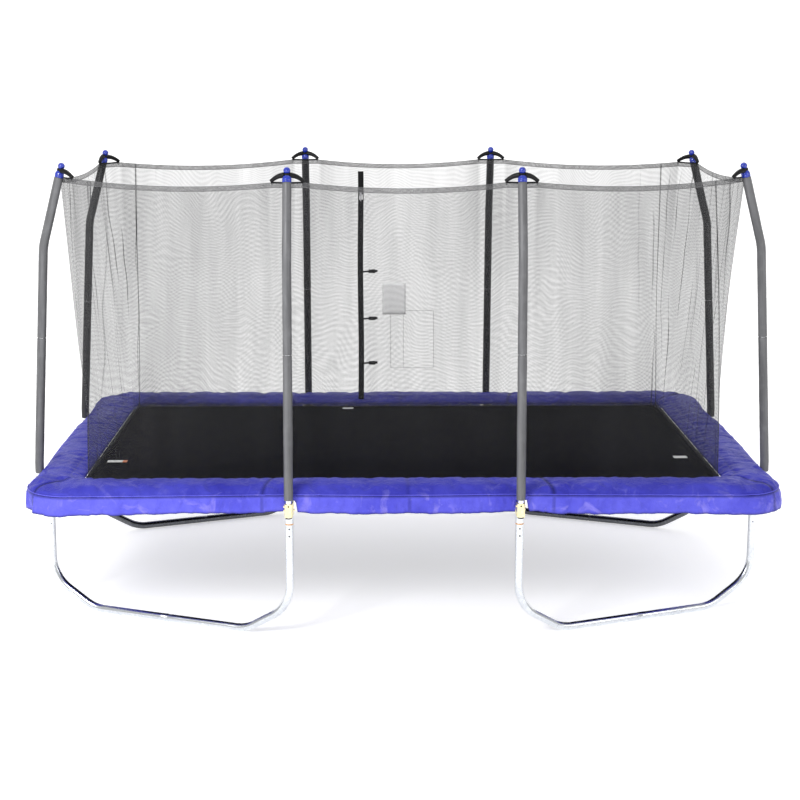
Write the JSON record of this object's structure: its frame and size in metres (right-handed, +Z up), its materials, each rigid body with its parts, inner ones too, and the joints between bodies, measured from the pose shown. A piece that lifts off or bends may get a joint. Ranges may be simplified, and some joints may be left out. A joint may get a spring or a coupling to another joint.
{
  "type": "rectangular trampoline with safety net",
  "caption": "Rectangular trampoline on U-shaped tube legs, with a sprung mat, padded cover, sleeved poles and a safety net with a zipped door",
  "frame": {"origin": "on the ground, below the middle of the mat", "axes": "+X along the long sides, +Y from the front to the back with the door, +Z up"},
  "size_m": [4.7018, 2.8718, 2.8712],
  "materials": {
    "galvanised_steel": "hot-dip galvanised tube, bright, lightly spangled",
    "pole_steel": "galvanised tube, bright",
    "yellow_zinc": "yellow-passivated zinc plating on folded steel",
    "spring_steel": "zinc-plated spring wire",
    "sleeve_vinyl": "vinyl skin over foam, dark grey, satin",
    "cap_blue": "glossy blue moulded plastic",
    "pad_blue": "glossy blue-violet coated fabric over foam",
    "mat_black": "matt black woven mat",
    "net_black": "black knitted mesh",
    "strip_black": "black webbing",
    "buckle_black": "black moulded plastic",
    "slider_metal": "plated metal"
  },
  "bodies": {
    "frame": {"bracket_back_left": "yellow_zinc", "bracket_back_right": "yellow_zinc", "bracket_front_left": "yellow_zinc", "bracket_front_right": "yellow_zinc", "bracket_left_back": "yellow_zinc", "bracket_left_front": "yellow_zinc", "bracket_right_back": "yellow_zinc", "bracket_right_front": "yellow_zinc", "buckle_body_1": "buckle_black", "buckle_body_2": "buckle_black", "buckle_body_3": "buckle_black", "cap_back_left": "cap_blue", "cap_back_right": "cap_blue", "cap_front_left": "cap_blue", "cap_front_right": "cap_blue", "cap_left_back": "cap_blue", "cap_left_front": "cap_blue", "cap_right_back": "cap_blue", "cap_right_front": "cap_blue", "corner_rail_back_left": "galvanised_steel", "corner_rail_back_right": "galvanised_steel", "corner_rail_front_left": "galvanised_steel", "corner_rail_front_right": "galvanised_steel", "leg_back_left_long": "galvanised_steel", "leg_back_left_short": "galvanised_steel", "leg_back_right_long": "galvanised_steel", "leg_back_right_short": "galvanised_steel", "leg_front_left_long": "galvanised_steel", "leg_front_left_short": "galvanised_steel", "leg_front_right_long": "galvanised_steel", "leg_front_right_short": "galvanised_steel", "long_rail_back": "galvanised_steel", "long_rail_front": "galvanised_steel", "net": "net_black", "pad": "pad_blue", "pole_back_left": "pole_steel", "pole_back_right": "pole_steel", "pole_front_left": "pole_steel", "pole_front_right": "pole_steel", "pole_left_back": "pole_steel", "pole_left_front": "pole_steel", "pole_right_back": "pole_steel", "pole_right_front": "pole_steel", "short_rail_left": "galvanised_steel", "short_rail_right": "galvanised_steel", "sleeve_back_left": "sleeve_vinyl", "sleeve_back_right": "sleeve_vinyl", "sleeve_front_left": "sleeve_vinyl", "sleeve_front_right": "sleeve_vinyl", "sleeve_left_back": "sleeve_vinyl", "sleeve_left_front": "sleeve_vinyl", "sleeve_right_back": "sleeve_vinyl", "sleeve_right_front": "sleeve_vinyl", "springs": "spring_steel", "zip_strip": "strip_black"},
    "mat": {"mat": "mat_black"},
    "slider": {"zip_slider": "slider_metal"},
    "latch_1": {"buckle_latch_1": "buckle_black"},
    "latch_2": {"buckle_latch_2": "buckle_black"},
    "latch_3": {"buckle_latch_3": "buckle_black"}
  },
  "joints": [
    {"name": "mat_bounce", "type": "slide", "parent": "frame", "child": "mat", "axis": [0, 0, 1], "range_m": [-0.3, 0], "stiffness_N_per_m": 4500, "springref_m": 0.025, "deforming": ["springs"]},
    {"name": "zip_slide", "type": "slide", "parent": "frame", "child": "slider", "axis": [0, 0.0679, 0.9977], "range_m": [-1.45, 0]},
    {"name": "latch_slide_1", "type": "slide", "parent": "frame", "child": "latch_1", "axis": [-1, 0, 0], "range_m": [0, 0.034]},
    {"name": "latch_slide_2", "type": "slide", "parent": "frame", "child": "latch_2", "axis": [-1, 0, 0], "range_m": [0, 0.034]},
    {"name": "latch_slide_3", "type": "slide", "parent": "frame", "child": "latch_3", "axis": [-1, 0, 0], "range_m": [0, 0.034]}
  ]
}
